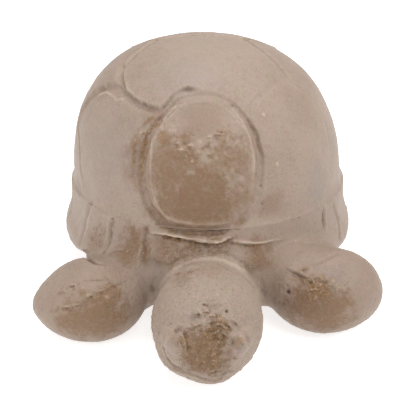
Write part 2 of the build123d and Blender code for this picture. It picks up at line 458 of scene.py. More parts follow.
def smooth_line(points, closed=False, spacing=0.12):
    """A smooth line of evenly spaced points through given ones."""
    points = np.array(points, float)
    if closed:
        padded = np.concatenate((points[-1:], points, points[:2]))
    else:
        padded = np.concatenate((2 * points[:1] - points[1:2], points, 2 * points[-1:] - points[-2:-1]))
    spans = []
    for before, here, there, after in zip(padded, padded[1:], padded[2:], padded[3:]):
        count = max(int(np.linalg.norm((there - here)[:3]) / spacing), 2)
        share = np.linspace(0, 1, count, endpoint=False)[:, None]
        bend = 3 * (here - there) + after - before
        bend = 2 * before - 5 * here + 4 * there - after + share * bend
        spans.append(here + 0.5 * share * (there - before + share * bend))
    return np.concatenate(spans)


class Finish:
    """What hands and tools did at each point, what the firing and the years did to the clay there, and the
    shade and highlights painted on it.
    """

    def __init__(self, points):
        self.points = points
        self.lift = np.zeros(len(points))
        self.traces = {trace: np.zeros(len(points)) for trace in trace_names}

    def add(self, where, lift, **traces):
        self.lift[where] += lift
        for trace, amount in traces.items():
            self.traces[trace][where] = np.maximum(self.traces[trace][where], amount)


class Mark:
    """A line worked into the clay. Its positive side is the right of the line as drawn, from outside."""

    def __init__(self, places, strengths, names, closed=False, width=0.7, depth=0.5, lips=(0.1, 0.1),
                 lean=0.0, step=0.0, rough=0.15, dirt=0.6, rust=(0.0, 0.0), grime=(0.0, 0.0), crest=0.34):
        rows = smooth_line(np.column_stack((places, strengths)), closed)
        self.line, self.strength = rows[:, :3], np.clip(rows[:, 3], 0, 1.2)
        along = np.roll(self.line, -1, axis=0) - np.roll(self.line, 1, axis=0)
        if not closed:
            along[0], along[-1] = along[1], along[-2]
        self.sideways = unit(np.cross(along, facing(self.line, names)))
        self.width, self.depth, self.lips, self.lean, self.step = width, depth, lips, lean, step
        self.rough, self.dirt, self.rust, self.grime, self.crest = rough, dirt, rust, grime, crest
        self.reach = 2.5 * width + 0.8 + (step_reach if step else 0)

    def work(self, finish):
        low, high = self.line.min(axis=0) - self.reach, self.line.max(axis=0) + self.reach
        close = np.all((finish.points > low) & (finish.points < high), axis=1)
        close = np.flatnonzero(close)
        for start in range(0, len(close), 4000):
            self.work_some(finish, close[start:start + 4000])

    def work_some(self, finish, where):
        points = finish.points[where]
        gaps = points[:, None] - self.line[None]
        nearest = np.argmin((gaps * gaps).sum(axis=2), axis=1)
        gap = points - self.line[nearest]
        side = (gap * self.sideways[nearest]).sum(axis=1)
        past = np.sqrt(np.maximum((gap * gap).sum(axis=1) - side * side, 0))
        side = np.sign(side) * np.hypot(side, np.maximum(past - 0.25, 0))
        near = np.abs(side) < self.reach
        where, points, nearest, side = where[near], points[near], nearest[near], side[near]
        if not len(where):
            return
        strength = self.strength[nearest]
        ragged = unevenness(points, 1.3, 5)
        side = side + self.rough * (ragged + 0.6 * unevenness(points, 3.1, 6, 2))
        strength = strength * (1 + 0.35 * unevenness(points, 4.3, 7, 2))
        channel = np.exp(-np.abs(side / self.width) ** 4)
        deepest = (1 + self.lean * np.clip(side / self.width, -1, 1)) / (1 + abs(self.lean))
        lift = -self.depth * channel * deepest
        away = self.width + 0.8 * self.crest
        left, right = (np.exp(-((side - sign * away) / self.crest) ** 2) for sign in (-1, 1))
        lip_share = eased(unevenness(points, 5.5, 8, 2), -0.7, 0.7)
        left, right = left * (0.35 + 0.9 * lip_share), right * (1.25 - 0.9 * lip_share)
        lift += self.lips[0] * left + self.lips[1] * right
        if self.step:
            lift -= self.step * eased(side, -0.2, 0.25) * eased(-np.abs(side), -step_reach, -0.5)
            lift += self.step * 0.5 * eased(-np.abs(side), -step_reach, -0.5)
        edges = [np.exp(-((side - sign * self.width) / 0.42) ** 2) for sign in (-1, 1)]
        rust = np.maximum(self.rust[0] * edges[0], self.rust[1] * edges[1]) * eased(ragged, -0.9, 0.3)
        # The lips are painted paler, as painted highlight.
        burr = np.maximum(min(self.lips[0] * 2.5, 1) * left, min(self.lips[1] * 2.5, 1) * right)
        # The edge under the groove's steep wall is darkened with dirt and painted shade.
        grime = np.maximum(self.grime[0] * edges[0], self.grime[1] * edges[1]) * eased(ragged, -1.1, 0.2)
        # The channel's floor is darkened with dirt and painted shade.
        hollow = np.maximum(self.dirt * channel, grime)
        finish.add(where, lift * strength, hollow=hollow * strength, rust=rust * strength,
                   burr=burr * strength)


def seen_mark(names, rows, **options):
    """A mark at rows of pixel x, pixel y and strength in the photograph."""
    rows = np.array(rows, float)
    return Mark(seen_at(rows[:, :2], names), rows[:, 2], names, **options)


def plan_mark(rows, **options):
    """A mark on the dome at rows of place across, place along and strength, as shares of its half sizes."""
    share = np.linspace(0, len(rows) - 1, 10 * len(rows))
    rows = np.column_stack([np.interp(share, range(len(rows)), column) for column in np.transpose(rows)])
    plan = rows[:, :2] * (shell_half_width, shell_half_length)
    return Mark(on_dome(plan), rows[:, 2], dome_names, **options)


# Which lumps shape the skin at a mark or a piece.
dome_names = ("rim", "dome")
band_names = ("belly", "rim", "dome")
head_names = ("neck_collar", "head", "eye_left", "eye_right")
foot_names = band_names + ("front_left_foot", "front_right_foot", "neck_collar")
tail_names = ("rear_left_foot", "rear_right_foot", "tail")
front_names = foot_names + ("head", "eye_left", "eye_right")
rear_names = ("belly", "rim") + tail_names
body_names = foot_names + tail_names

# Shell marks at their pixels in the photograph: x, y and how strongly the line shows there.
oval_pixels = (
    (196, 96, 0.45), (186, 98, 0.6), (176, 103, 0.7), (168, 111, 0.8), (159, 121, 1), (152, 131, 1.1),
    (147, 140, 1.1), (143, 154, 1), (141, 167, 1), (141, 180, 0.9), (145, 197, 0.9), (152, 211, 0.9),
    (164, 223, 1), (180, 229, 1.1), (200, 231, 1.1), (222, 230, 1), (238, 224, 0.4), (250, 213, 0.35),
    (256, 200, 0.4), (259, 187, 0.5), (260, 172, 0.7), (260, 158, 0.9), (257, 145, 1), (253, 132, 1),
    (244, 119, 0.9), (234, 107, 0.7), (222, 100, 0.4), (209, 96, 0.35),
)
# The worn inner edges of its groove.
left_crest_pixels = (
    (182, 102, 0.4), (172, 108, 1.2), (163, 117, 1.2), (157, 128, 1.1), (152, 140, 1.1), (150, 155, 0.9),
    (149, 173, 0.6), (151, 191, 0.6), (158, 208, 0.6), (167, 221, 0.3),
)
right_crest_pixels = (
    (236, 110, 0.6), (246, 123, 1), (253, 139, 1), (256, 157, 0.8), (256, 176, 0.5), (252, 195, 0.4),
)
# The stain along the oval's outer left edge.
oval_stain_pixels = (
    (162, 116, 0.3), (152, 121, 0.8), (144, 130, 1), (138, 142, 1), (136, 156, 0.9), (135, 170, 0.8),
    (137, 186, 0.4),
)
back_plate_pixels = (
    (134, 50, 0.3), (126, 56, 0.5), (121, 64, 0.6), (119, 76, 0.8), (121, 88, 1), (125, 96, 1.1),
    (133, 102, 1.1), (144, 107, 1.1), (155, 110, 1), (164, 108, 1), (171, 101, 0.9), (177, 95, 0.4),
    (184, 91, 0.7), (190, 90, 0.9), (197, 92, 0.1),
)
left_valley_pixels = (
    (78, 122, 0.6), (81, 112, 0.9), (86, 103, 1), (92, 95, 1), (98, 91, 1.1), (106, 87, 1.1), (113, 88, 1),
    (119, 93, 0.6),
)
left_side_pixels = ((78, 124, 0.5), (79, 146, 0.7), (80, 168, 0.7), (83, 188, 0.4))
worn_right_pixels = (
    (283, 77, 0.3), (298, 86, 0.7), (312, 98, 0.9), (321, 112, 0.9), (327, 129, 0.8), (330, 148, 0.4),
)
crumbled_pixels = (
    (158, 119, 0.4), (164, 123, 0.9), (170, 131, 1), (176, 140, 1.1), (179, 149, 1), (186, 153, 1),
    (194, 154, 1), (201, 150, 1), (207, 146, 0.9), (212, 139, 1), (219, 136, 1), (228, 136, 0.9),
    (237, 139, 0.7), (245, 142, 0.3),
)
scratch_pixels = ((230, 168, 0.5), (238, 172, 1), (248, 178, 0.8))
ledge_pixels = (
    (157, 235, 0.4), (166, 236, 0.8), (176, 238, 1), (190, 240, 1.1), (205, 242, 1.1), (218, 242, 1.1),
    (227, 239, 0.7),
)
short_ledge_pixels = ((236, 242, 0.8), (246, 244, 1), (256, 245, 0.9), (266, 244, 0.7), (276, 242, 0.3))
smear_pixels = ((231, 206, 0.4), (233, 222, 0.9), (234, 236, 1), (236, 250, 0.8), (237, 262, 0.5))
seam_pixels = (
    (78, 196, 0.9), (92, 201, 1), (106, 205, 0.9), (120, 209, 0.7), (134, 213, 0.5), (146, 222, 0.3),
)
rim_line_pixels = {
    "smeared": ((90, 203, 0.8), (86, 217, 1), (83, 231, 1), (79, 244, 0.7)),
    "cut": ((111, 221, 0.8), (109, 235, 1), (107, 248, 1), (106, 259, 0.9)),
    "broad": ((145, 231, 0.9), (144, 242, 1), (143, 252, 1), (143, 261, 0.6)),
    "faint": ((278, 245, 0.5), (278, 256, 0.7), (276, 266, 0.4)),
    "side": ((334, 206, 0.5), (339, 221, 0.9), (340, 238, 0.8)),
}

# The same for the collar, the feet and the head.
collar_pixels = (
    (147, 303, 0.3), (152, 289, 0.8), (160, 276, 1), (172, 265, 1), (188, 257, 1), (208, 253, 1),
    (228, 256, 1), (244, 265, 1), (256, 278, 1), (263, 292, 0.8), (266, 303, 0.3),
)
left_foot_pixels = (
    (60, 309, 0.4), (68, 309, 0.8), (76, 307, 1), (85, 301, 1.1), (94, 297, 1.1), (103, 293, 1),
    (112, 287, 1), (120, 283, 0.7),
)
left_foot_line_pixels = ((87, 281, 0.5), (95, 280, 0.9), (104, 279, 0.5))
left_crevice_pixels = ((84, 252, 0.8), (89, 258, 1), (95, 262, 1), (103, 264, 0.5))
right_foot_pixels = (
    (305, 279, 0.6), (312, 281, 1), (320, 280, 1.1), (327, 282, 1), (334, 286, 0.8), (342, 290, 0.4),
)
right_flap_pixels = ((291, 271, 0.7), (297, 274, 1.1), (304, 277, 0.8))
right_web_pixels = ((306, 266, 0.3), (317, 263, 0.8), (328, 258, 1), (339, 253, 0.9))
slit_pixels = ((179, 328, 0.6), (183.5, 334, 1), (186.5, 342, 1), (188, 352, 0.5))
left_eye_pixels = (
    (167, 332, 0.2), (163, 339, 0.5), (163, 348, 0.8), (166, 357, 1), (172, 365, 1), (179, 369, 0.7),
)
right_eye_pixels = ((240, 330, 0.4), (246, 334, 0.8), (249, 343, 0.9), (248, 352, 0.7), (243, 361, 0.4))
mouth_pixels = (
    (171, 369, 0.4), (176, 371, 0.9), (184, 374, 1), (191, 376, 1), (198, 378, 1), (206, 381, 0.8),
    (214, 382, 0.6), (220, 380, 0.9), (224, 376, 1.1), (228, 373, 1.1), (234, 372, 0.9), (240, 368, 0.4),
)

# Short flakes that stand off the clay: pixel x, pixel y, and how many pixels long and how steep each is.
flake = dict(width=0.13, depth=0.12, lips=(0.26, 0), rough=0.05, dirt=0.14, rust=(0, 0.9), crest=0.16)
flake_pixels = {
    head_names: (
        (204, 304, 4, 0), (205, 312, 3, 0), (211, 317, 4, 0), (211, 323, 5, 1), (218, 326, 4, 0),
        (223, 327, 3, -2), (229, 326, 3, -3), (216, 334, 4, 1), (208, 329, 3, 1), (224, 335, 3, -2),
        (198, 314, 3, 0), (197, 326, 3, 1), (236, 323, 3, -2), (178, 273, 6, 1), (190, 272, 4, 1),
        (236, 359, 3, -2), (229, 367, 3, 2), (214, 372, 5, 1),
    ),
    dome_names: (
        (182, 151, 8, 0), (176, 144, 5, -2), (190, 147, 6, 1), (203, 147, 6, 2), (210, 138, 6, 1),
        (219, 135, 7, 0), (172, 133, 5, -3), (227, 157, 5, -2), (209, 155, 4, 1), (174, 107, 7, 3),
        (152, 124, 6, 4), (143, 133, 5, 4),
    ),
    foot_names: (
        (66, 308, 5, 0), (76, 306, 4, 1), (90, 297, 5, 2), (101, 292, 4, 1), (112, 286, 4, 2),
        (72, 285, 4, 0), (62, 292, 4, 0), (309, 281, 5, -1), (322, 281, 6, 0), (312, 291, 4, 1),
        (304, 269, 4, 1),
    ),
}


# How each of these lines was worked into the clay, and how much dirt, painted shade and painted highlight
# goes along it.
worked_lines = {
    dome_names: (
        (oval_pixels, dict(closed=True, width=0.95, depth=0.95, lips=(0.15, 0.05), lean=0.55, dirt=0.06,
         rust=(0.3, 0.5), grime=(0.0, 0.32), crest=0.26)),
        (left_crest_pixels, dict(width=0.05, depth=0, lips=(0.34, 0), rough=0.1, dirt=0, rust=(0.5, 0),
         crest=0.2)),
        (right_crest_pixels, dict(width=0.05, depth=0, lips=(0, 0.2), rough=0.1, dirt=0, crest=0.4)),
        (oval_stain_pixels, dict(width=0.9, depth=0.14, lips=(0, 0), rough=0.6, dirt=0.32,
         rust=(1.1, 1.1))),
        (back_plate_pixels, dict(width=0.8, depth=0.95, lips=(0.16, 0.03), lean=-0.75, step=0.15, dirt=0.16,
         rust=(0.4, 0.1), grime=(0.75, 0))),
        (left_valley_pixels, dict(width=1.25, depth=0.9, lips=(0.1, 0.55), lean=-0.6, dirt=0.15,
         grime=(0.55, 0), crest=0.24)),
        (left_side_pixels, dict(width=0.4, depth=0.25, lips=(0.08, 0.08))),
        (worn_right_pixels, dict(width=0.5, depth=0.14, lips=(0.03, 0.1), dirt=0.1)),
        (crumbled_pixels, dict(width=0.3, depth=0.03, lips=(0.03, 0), step=0.13, rough=1.0, dirt=0.1,
         rust=(0.2, 0.6))),
        (scratch_pixels, dict(width=0.14, depth=0.1, lips=(0, 0.02))),
    ),
    band_names: (
        (ledge_pixels, dict(width=0.26, depth=0.22, lips=(0.55, 0), step=0.4, rough=0.12, rust=(0.1, 1.6),
         dirt=0.12, crest=0.22)),
        (short_ledge_pixels, dict(width=0.26, depth=0.16, lips=(0.45, 0), step=0.3, rough=0.12,
         rust=(0.1, 0.9), dirt=0.1, crest=0.22)),
        (smear_pixels, dict(width=0.75, depth=-0.22, lips=(0, 0), dirt=0)),
        (seam_pixels, dict(width=0.5, depth=-0.12, lips=(0, 0), dirt=0)),
        (rim_line_pixels["smeared"], dict(width=0.7, depth=0.55, lips=(0.25, 0.02), lean=-0.5, dirt=0.3)),
        (rim_line_pixels["cut"], dict(width=0.45, depth=0.5, lips=(0.04, 0.2), lean=-0.4, dirt=0.5,
         rust=(0.8, 0))),
        (rim_line_pixels["broad"], dict(width=0.4, depth=0.36, lips=(0.03, 0.16), rough=0.35, dirt=0.45,
         rust=(1.1, 0.2))),
        (rim_line_pixels["faint"], dict(width=0.45, depth=0.14, lips=(0.05, 0.02), dirt=0.3)),
        (rim_line_pixels["side"], dict(width=0.6, depth=0.4, lips=(0.18, 0.03), dirt=0.4)),
    ),
    foot_names: (
        (left_foot_pixels, dict(width=0.25, depth=0.04, lips=(0.04, 0), step=0.16, rough=0.8, dirt=0.15,
         rust=(0.1, 0.7))),
        (left_foot_line_pixels, dict(width=0.2, depth=0.12, lips=(0.02, 0.03))),
        (left_crevice_pixels, dict(width=0.5, depth=0.5, lips=(0.1, 0.05), dirt=1, rust=(0.6, 0.1))),
        (right_foot_pixels, dict(width=0.3, depth=0.1, lips=(0.12, 0), step=0.26, rough=0.6, dirt=0.2,
         rust=(0.2, 0.6))),
        (right_flap_pixels, dict(width=0.25, depth=0.2, lips=(0.2, 0), step=0.15, dirt=0.9,
         rust=(0.1, 0.5))),
        (right_web_pixels, dict(width=0.5, depth=0.2, lips=(0.05, 0.02), dirt=0.4)),
        (collar_pixels, dict(width=0.6, depth=0.3, lips=(0.0, 0.24), dirt=0.12, crest=0.75)),
    ),
    head_names: (
        (slit_pixels, dict(width=0.2, depth=0.12, lips=(0.0, 0.3), rough=0.08, dirt=0.08, rust=(0.8, 0.1),
         crest=0.16)),
        (left_eye_pixels, dict(width=0.32, depth=0.22, lips=(0.1, 0.03), rough=0.1, dirt=0.5)),
        (right_eye_pixels, dict(width=0.35, depth=0.14, lips=(0.02, 0.06), rough=0.1, dirt=0.3)),
        (mouth_pixels, dict(width=0.26, depth=0.3, lips=(0.0, 0.14), rough=0.1, dirt=0.5,
         rust=(0.5, 0.1))),
    ),
}


def figurine_marks():
    """Every worked line on the figurine."""
    marks = []
    for names, lines in worked_lines.items():
        for rows, options in lines:
            marks.append(seen_mark(names, rows, **options))
    for names, flakes in flake_pixels.items():
        for x, y, length, climb in flakes:
            rows = ((x - length / 2, y + climb / 2, 0.5), (x, y, 1.1), (x + length / 2, y - climb / 2, 0.5))
            marks.append(seen_mark(names, rows, **flake))
    for front, rear, waist, end in back_plate_shares:
        middle = (front + rear) / 2
        rows = [((-end, rear, 1), (0, rear + 0.01, 1), (end, rear, 1))]
        for side in (-1, 1):
            if front > 0:
                outermost = plate_reach_share * math.sqrt(1 - middle * middle)
                rows.append(((side * end, front, 1), (side * waist, middle, 1)))
                rows.append(((side * waist, middle, 1), (side * end, rear, 1)))
                rows.append(((side * waist, middle, 1), (side * outermost, middle, 0.8)))
            else:
                rows.append(((side * waist, middle, 0.4), (side * end, rear, 1)))
        if front < 0:
            # The photograph's own line stands for the other half of the first plate's front.
            rows.append(((end, front, worn_share), (waist, middle, worn_share)))
        marks.extend(plan_mark(row, **plate_line) for row in rows)
    for angle in rim_line_angles:
        drops = side_line_drops if abs(angle) < rear_arch_angle else rear_line_drops
        line = on_rim(angle, drops)
        marks.append(Mark(line, np.linspace(1, 0.8, len(line)), band_names, **rim_line))
    return marks


# Small dents and lumps: pixel x, pixel y, radius, depth and how much shade is painted into each.
dent_pixels = {
    head_names: (
        (227, 311, 0.22, 0.55, 1.6), (176.5, 330.5, 0.4, 0.4, 0.6), (229.5, 326, 0.3, 0.35, 1.2),
        (232.5, 342.5, 0.42, 0.3, 0.9), (225.5, 375, 0.5, 0.3, 0.7), (203.5, 304, 0.26, 0.15, 0.9),
        (205, 316, 0.24, 0.15, 0.8), (179, 344, 0.4, 0.18, 0.7), (192, 271, 0.3, 0.15, 0.8),
        (214, 367, 0.4, 0.14, 0.5), (192, 317, 1.2, 0.12, 0.4), (183, 338, 0.3, 0.1, 0.5),
        (211, 322, 0.5, 0.22, 0.6), (221, 331, 0.5, 0.22, 0.6), (217, 340, 0.45, 0.2, 0.6),
        (225, 326, 0.4, 0.2, 0.7),
    ),
    foot_names: (
        (287.5, 292, 0.4, 0.6, 1.4), (300, 251, 0.22, 0.3, 1), (59, 293, 0.5, 0.16, 0.5),
        (65, 290, 0.5, 0.14, 0.4), (72, 294, 0.5, 0.2, 0.6), (70, 286, 0.4, 0.14, 0.4),
        (66, 309, 0.4, 0.2, 0.7), (75, 308, 0.4, 0.2, 0.7), (78, 283, 0.4, 0.12, 0.4),
    ),
    dome_names: (
        (203, 103, 0.5, 0.12, 0.5), (233, 104, 0.4, 0.2, 0.8), (174, 108, 0.35, -0.15, 0),
        (182, 149, 0.5, -0.22, 0), (190, 145, 0.4, -0.18, 0), (176, 137, 0.35, 0.2, 0.8),
        (184, 143, 0.35, 0.2, 0.8), (193, 135, 0.3, 0.16, 0.6), (215, 136, 0.35, 0.2, 0.8),
        (210, 157, 0.35, 0.2, 0.7), (229, 126, 0.3, 0.16, 0.5), (173, 127, 0.45, -0.2, 0),
        (200, 142, 0.5, -0.2, 0),
    ),
    band_names: ((262, 186, 0.3, 0.2, 0.9), (263, 204, 0.3, 0.2, 0.9)),
}
# Crumbling clay: pixels along its middle, how many pixels it spreads, and how many crumbs it has.
crumbling_pixels = (
    (dome_names, crumbled_pixels, 3.2, 85),
    (dome_names, ((205, 140, 1), (225, 165, 1), (238, 185, 1)), 6, 40),
    (dome_names, ((150, 122, 1), (140, 140, 1), (138, 165, 1)), 2.2, 22),
    (dome_names, ((160, 125, 1), (153, 135, 1), (150, 148, 1)), 1.5, 16),
    (foot_names, left_foot_pixels, 2.2, 42),
    (foot_names, ((62, 288, 1), (74, 290, 1), (84, 294, 1)), 4, 26),
    (foot_names, right_foot_pixels, 2.6, 30),
    (head_names, ((196, 292, 1), (208, 312, 1), (222, 334, 1)), 8, 110),
    (head_names, ((186, 330, 1), (190, 345, 1), (196, 358, 1)), 4, 26),
    (head_names, ((176, 275, 1), (200, 272, 1)), 3, 16),
    (head_names, ((238, 350, 1), (230, 365, 1), (212, 372, 1)), 3, 24),
    (band_names, ((160, 246, 1), (190, 250, 1), (222, 250, 1)), 3, 30),
)
crumb_seed = 11
crumb_radii = (0.15, 0.48)
crumb_depths = (-0.26, 0.24)
# Each crumb's pit is painted darker the deeper it is: painted shade.
pit_shade_per_depth = 1.6
# Patches of a colour or a roughness of their own, and patches of painted shade and of painted highlight:
# pixel x, pixel y, radius and strength.
patch_pixels = {
    ("warmth", dome_names): (
        (194, 200, 11, 1), (174, 168, 7, 0.9), (228, 160, 6.5, 0.7), (205, 118, 7, 0.4),
        (240, 195, 5, 0.6), (272, 205, 4, 0.45), (136, 152, 4, 0.9), (134, 172, 4, 0.7),
        (150, 112, 3, 0.4),
    ),
    ("warmth", band_names): (
        (168, 249, 4.5, 0.65), (192, 250, 4, 0.65), (216, 249, 4, 0.65), (256, 255, 4.6, 0.65),
        (135, 245, 4.5, 0.8), (96, 240, 4, 0.5),
    ),
    ("rust", band_names): ((195, 250, 6, 0.22), (255, 255, 4, 0.25), (170, 250, 3, 0.25)),
    ("warmth", head_names): (
        (205, 350, 6.2, 1), (198, 338, 2.4, 0.7), (214, 365, 4, 0.9), (192, 356, 3, 0.8),
        (186, 275, 3.6, 0.35), (212, 268, 4, 0.3),
    ),
    ("warmth", foot_names): (
        (100, 318, 7, 0.9), (75, 325, 5, 0.8), (318, 308, 8, 0.9), (316, 288, 4, 0.7),
    ),
    ("rust", head_names): (
        (217, 331, 3.0, 0.9), (207, 352, 5.4, 0.5), (185, 341, 1.4, 0.8), (236, 340, 1.6, 0.5),
        (186, 275, 2.6, 0.25), (210, 305, 2.6, 0.3),
    ),
    ("rust", foot_names): ((318, 288, 3.6, 0.75), (112, 291, 3, 0.5)),
    # Painted shade in the nooks between the neck and the front feet.
    ("hollow", foot_names): ((143, 308, 2.6, 0.25), (279, 306, 2.6, 0.3)),
    ("paleness", foot_names): (
        (210, 257, 6, 1), (143, 285, 5, 0.9), (170, 268, 4, 0.8), (244, 268, 4, 0.8),
    ),
    ("paleness", band_names): ((190, 252, 8, 1), (92, 228, 8, 1)),
    ("paleness", head_names): ((206, 308, 7, 0.75), (205, 300, 4, 0.4)),
    ("coolness", dome_names): ((318, 185, 5, 0.8), (112, 150, 10, 0.5), (180, 78, 9, 0.55)),
    ("coolness", foot_names): ((136, 295, 3.4, 0.25), (330, 275, 4, 0.7)),
    ("coolness", head_names): ((193, 316, 1.4, 0.9), (240, 352, 1.8, 0.8), (170, 350, 1.8, 0.6)),
    ("coolness", band_names): ((150, 275, 4, 0.5),),
    ("rust", dome_names): (
        (182, 146, 3.4, 0.3), (225, 138, 2.4, 0.35), (161, 137, 1.8, 0.6), (155, 124, 1.6, 0.5),
    ),
    ("paleness", dome_names): ((215, 40, 14, 0.9),),
    # Painted highlights on small raised bits of the ledge and of the shell.
    ("burr", band_names): ((296, 242, 0.5, 1), (225, 238, 0.45, 1)),
    ("burr", dome_names): (
        (264, 114, 0.4, 0.8), (278, 164, 0.35, 0.8), (192, 161, 0.25, 0.6), (174, 107, 0.7, 1),
        (182, 150, 0.5, 0.5),
    ),
}


def crumbs_along(names, rows, spread, count, chooser):
    """Small pits and lumps scattered about a line of pixels, with shade painted into the pits."""
    line = smooth_line(rows, spacing=0.5)
    pixels = line[chooser.integers(len(line), size=count), :2] + chooser.normal(0, spread, (count, 2))
    radii = chooser.uniform(*crumb_radii, count)
    depths = chooser.uniform(*crumb_depths, count) * radii / crumb_radii[1]
    return list(zip(seen_at(pixels, names), radii, depths, np.maximum(depths * pit_shade_per_depth, 0)))


def settle(finish, marks, dents, patches, grittiness):
    """Works every mark, dent and patch into the clay, and then its general unevenness."""
    points = finish.points
    for mark in marks:
        mark.work(finish)
    for place, radius, depth, pit_shade in dents:
        gap = np.linalg.norm(points - place, axis=1)
        near = np.flatnonzero(gap < 2.5 * radius)
        bump = np.exp(-((gap[near] / radius) ** 2))
        # Each dent gets shade painted into its pit, and each raised lump a painted highlight.
        finish.add(near, -depth * bump, hollow=pit_shade * bump, burr=bump * min(max(-2 * depth, 0), 1))
    large = unevenness(points, large_lumps, 1, 2)
    middling = unevenness(points, middling_lumps, 2)
    fine = unevenness(points, fine_lumps, 3)
    tiny = unevenness(points, tiny_lumps, 4, 2)
    for trace, place, radius, strength in patches:
        gap = np.linalg.norm(points - place, axis=1)
        near = np.flatnonzero(gap < 1.8 * radius)
        ragged = gap[near] / radius + 0.42 * middling[near] + 0.22 * fine[near]
        finish.add(near, 0, **{trace: strength * (1 - eased(ragged, 0.3, 1.2))})
    rust = finish.traces["rust"]
    finish.lift += surface_drop + large_lift * large + middling_lift * middling
    finish.lift += grittiness * (fine_lift * fine + tiny_lift * tiny)
    finish.lift += rust * (crumbly_fine_lift * fine + crumbly_tiny_lift * tiny)


def finish_skin(points, name, names):
    """Works the marks into the part of a piece that shows. Gives the points and their traces."""
    share = share_of_clay(points, name, names)
    shows = (share < 0.98 * tuck_under) & (skin(points, names) > -1.5 * tuck_depth)
    if name == "dome":
        shows = skin(points, names) > -tuck_depth
    finish = Finish(points[shows])
    settle(finish, marks, dents, patches, grittinesses.get(name, 1.0))
    # A crease where this lump was pressed against its neighbours, with shade painted into it. On the
    # shell's seam it is smeared over.
    if name not in ("dome", "rim"):
        crease = np.exp(-((share[shows] / crease_width) ** 2))
        finish.add(slice(None), -crease_depth * crease, hollow=crease_dirt * crease)
    moved = points.copy()
    moved[shows] += facing(finish.points, names) * finish.lift[:, None]
    moved = np.clip(moved, *figurine_box)
    traces = {}
    for trace, amounts in finish.traces.items():
        traces[trace] = np.zeros(len(points))
        traces[trace][shows] = amounts
    return moved, traces


class Value:
    """A value that a node gives. Python's own operators on it add Math nodes."""

    def __init__(self, tree, socket):
        self.tree = tree
        self.socket = socket

    def reckon(self, operation, first, second):
        return self.tree.node("ShaderNodeMath", {"operation": operation}, {0: first, 1: second})

    def __add__(self, other):
        return self.reckon("ADD", self, other)

    def __sub__(self, other):
        return self.reckon("SUBTRACT", self, other)

    def __rsub__(self, other):
        return self.reckon("SUBTRACT", other, self)

    def __mul__(self, other):
        return self.reckon("MULTIPLY", self, other)

    __radd__ = __add__
    __rmul__ = __mul__

    def eased(self, low, high):
        """A smooth rise from 0 at the low value to 1 at the high one."""
        settings = {"interpolation_type": "SMOOTHSTEP"}
        return self.tree.node("ShaderNodeMapRange", settings, {0: self, 1: low, 2: high})

    def beside(self, output):
        """Another output of the node that gives this value."""
        return Value(self.tree, self.socket.node.outputs[output])


class Tree:
    """A tree of nodes, each made from its type, its settings, and then its sockets' values or links."""

    def __init__(self, nodes, links):
        self.nodes = nodes
        self.links = links

    def fill(self, socket, value):
        if isinstance(value, Value):
            self.links.new(value.socket, socket)
        else:
            socket.default_value = value

    def node(self, kind, settings=None, inputs=None, output=0):
        made = self.nodes.new(kind)
        for setting, value in (settings or {}).items():
            setattr(made, setting, value)
        for socket, value in (inputs or {}).items():
            self.fill(made.inputs[socket], value)
        return Value(self, made.outputs[output])


class Shader(Tree):
    """A material's nodes, with the patterns that clay is made of."""

    def __init__(self, name):
        self.material = bpy.data.materials.new(name)
        self.material.use_nodes = True
        super().__init__(self.material.node_tree.nodes, self.material.node_tree.links)
        self.surface = self.nodes["Principled BSDF"]
        self.place = self.node("ShaderNodeTexCoord", output="Object")

    def trace(self, name):
        return self.node("ShaderNodeAttribute", {"attribute_name": name}, output="Fac")

    def grain(self, size, seed, detail=3.0, roughness=0.5):
        """Soft noise from 0 to 1 whose lumps have this size in millimetres."""
        settings = {"noise_dimensions": "4D"}
        inputs = {"Vector": self.place, "W": seed, "Scale": 1 / (size * MILLIMETRE), "Detail": detail,
                  "Roughness": roughness}
        return self.node("ShaderNodeTexNoise", settings, inputs)

    def mix(self, share, first, second):
        inputs = {0: share, 6: first, 7: second}
        return self.node("ShaderNodeMix", {"data_type": "RGBA"}, inputs, output=2)

    def bump(self, height, distance, strength):
        inputs = {"Height": height, "Distance": distance * MILLIMETRE, "Strength": strength}
        return self.node("ShaderNodeBump", None, inputs)

    def finish(self, colour, roughness, normal):
        for socket, value in {"Base Color": colour, "Roughness": roughness, "Normal": normal}.items():
            self.fill(self.surface.inputs[socket], value)


# Colours of the fired clay, in linear light.
clay_colours = {
    "pale": (0.335, 0.262, 0.211, 1),
    "middle": (0.262, 0.192, 0.147, 1),
    "brown": (0.193, 0.115, 0.063, 1),
    "grey": (0.255, 0.205, 0.180, 1),
    "rust": (0.245, 0.138, 0.062, 1),
    # Dark clay for dirt and dark specks, and for painted shade in cuts, pits, creases and nooks.
    "dirt": (0.110, 0.070, 0.047, 1),
    # Pale clay for pale grit, and for painted highlights on lips, crests and raised bits.
    "burr": (0.53, 0.42, 0.33, 1),
    "grain": (0.42, 0.34, 0.26, 1),
}
# What the clay's own colour is multiplied by where it is rosier and where it is greener.
rosy_cast = (1.035, 0.975, 1.03, 1)
green_cast = (0.98, 1.015, 0.945, 1)


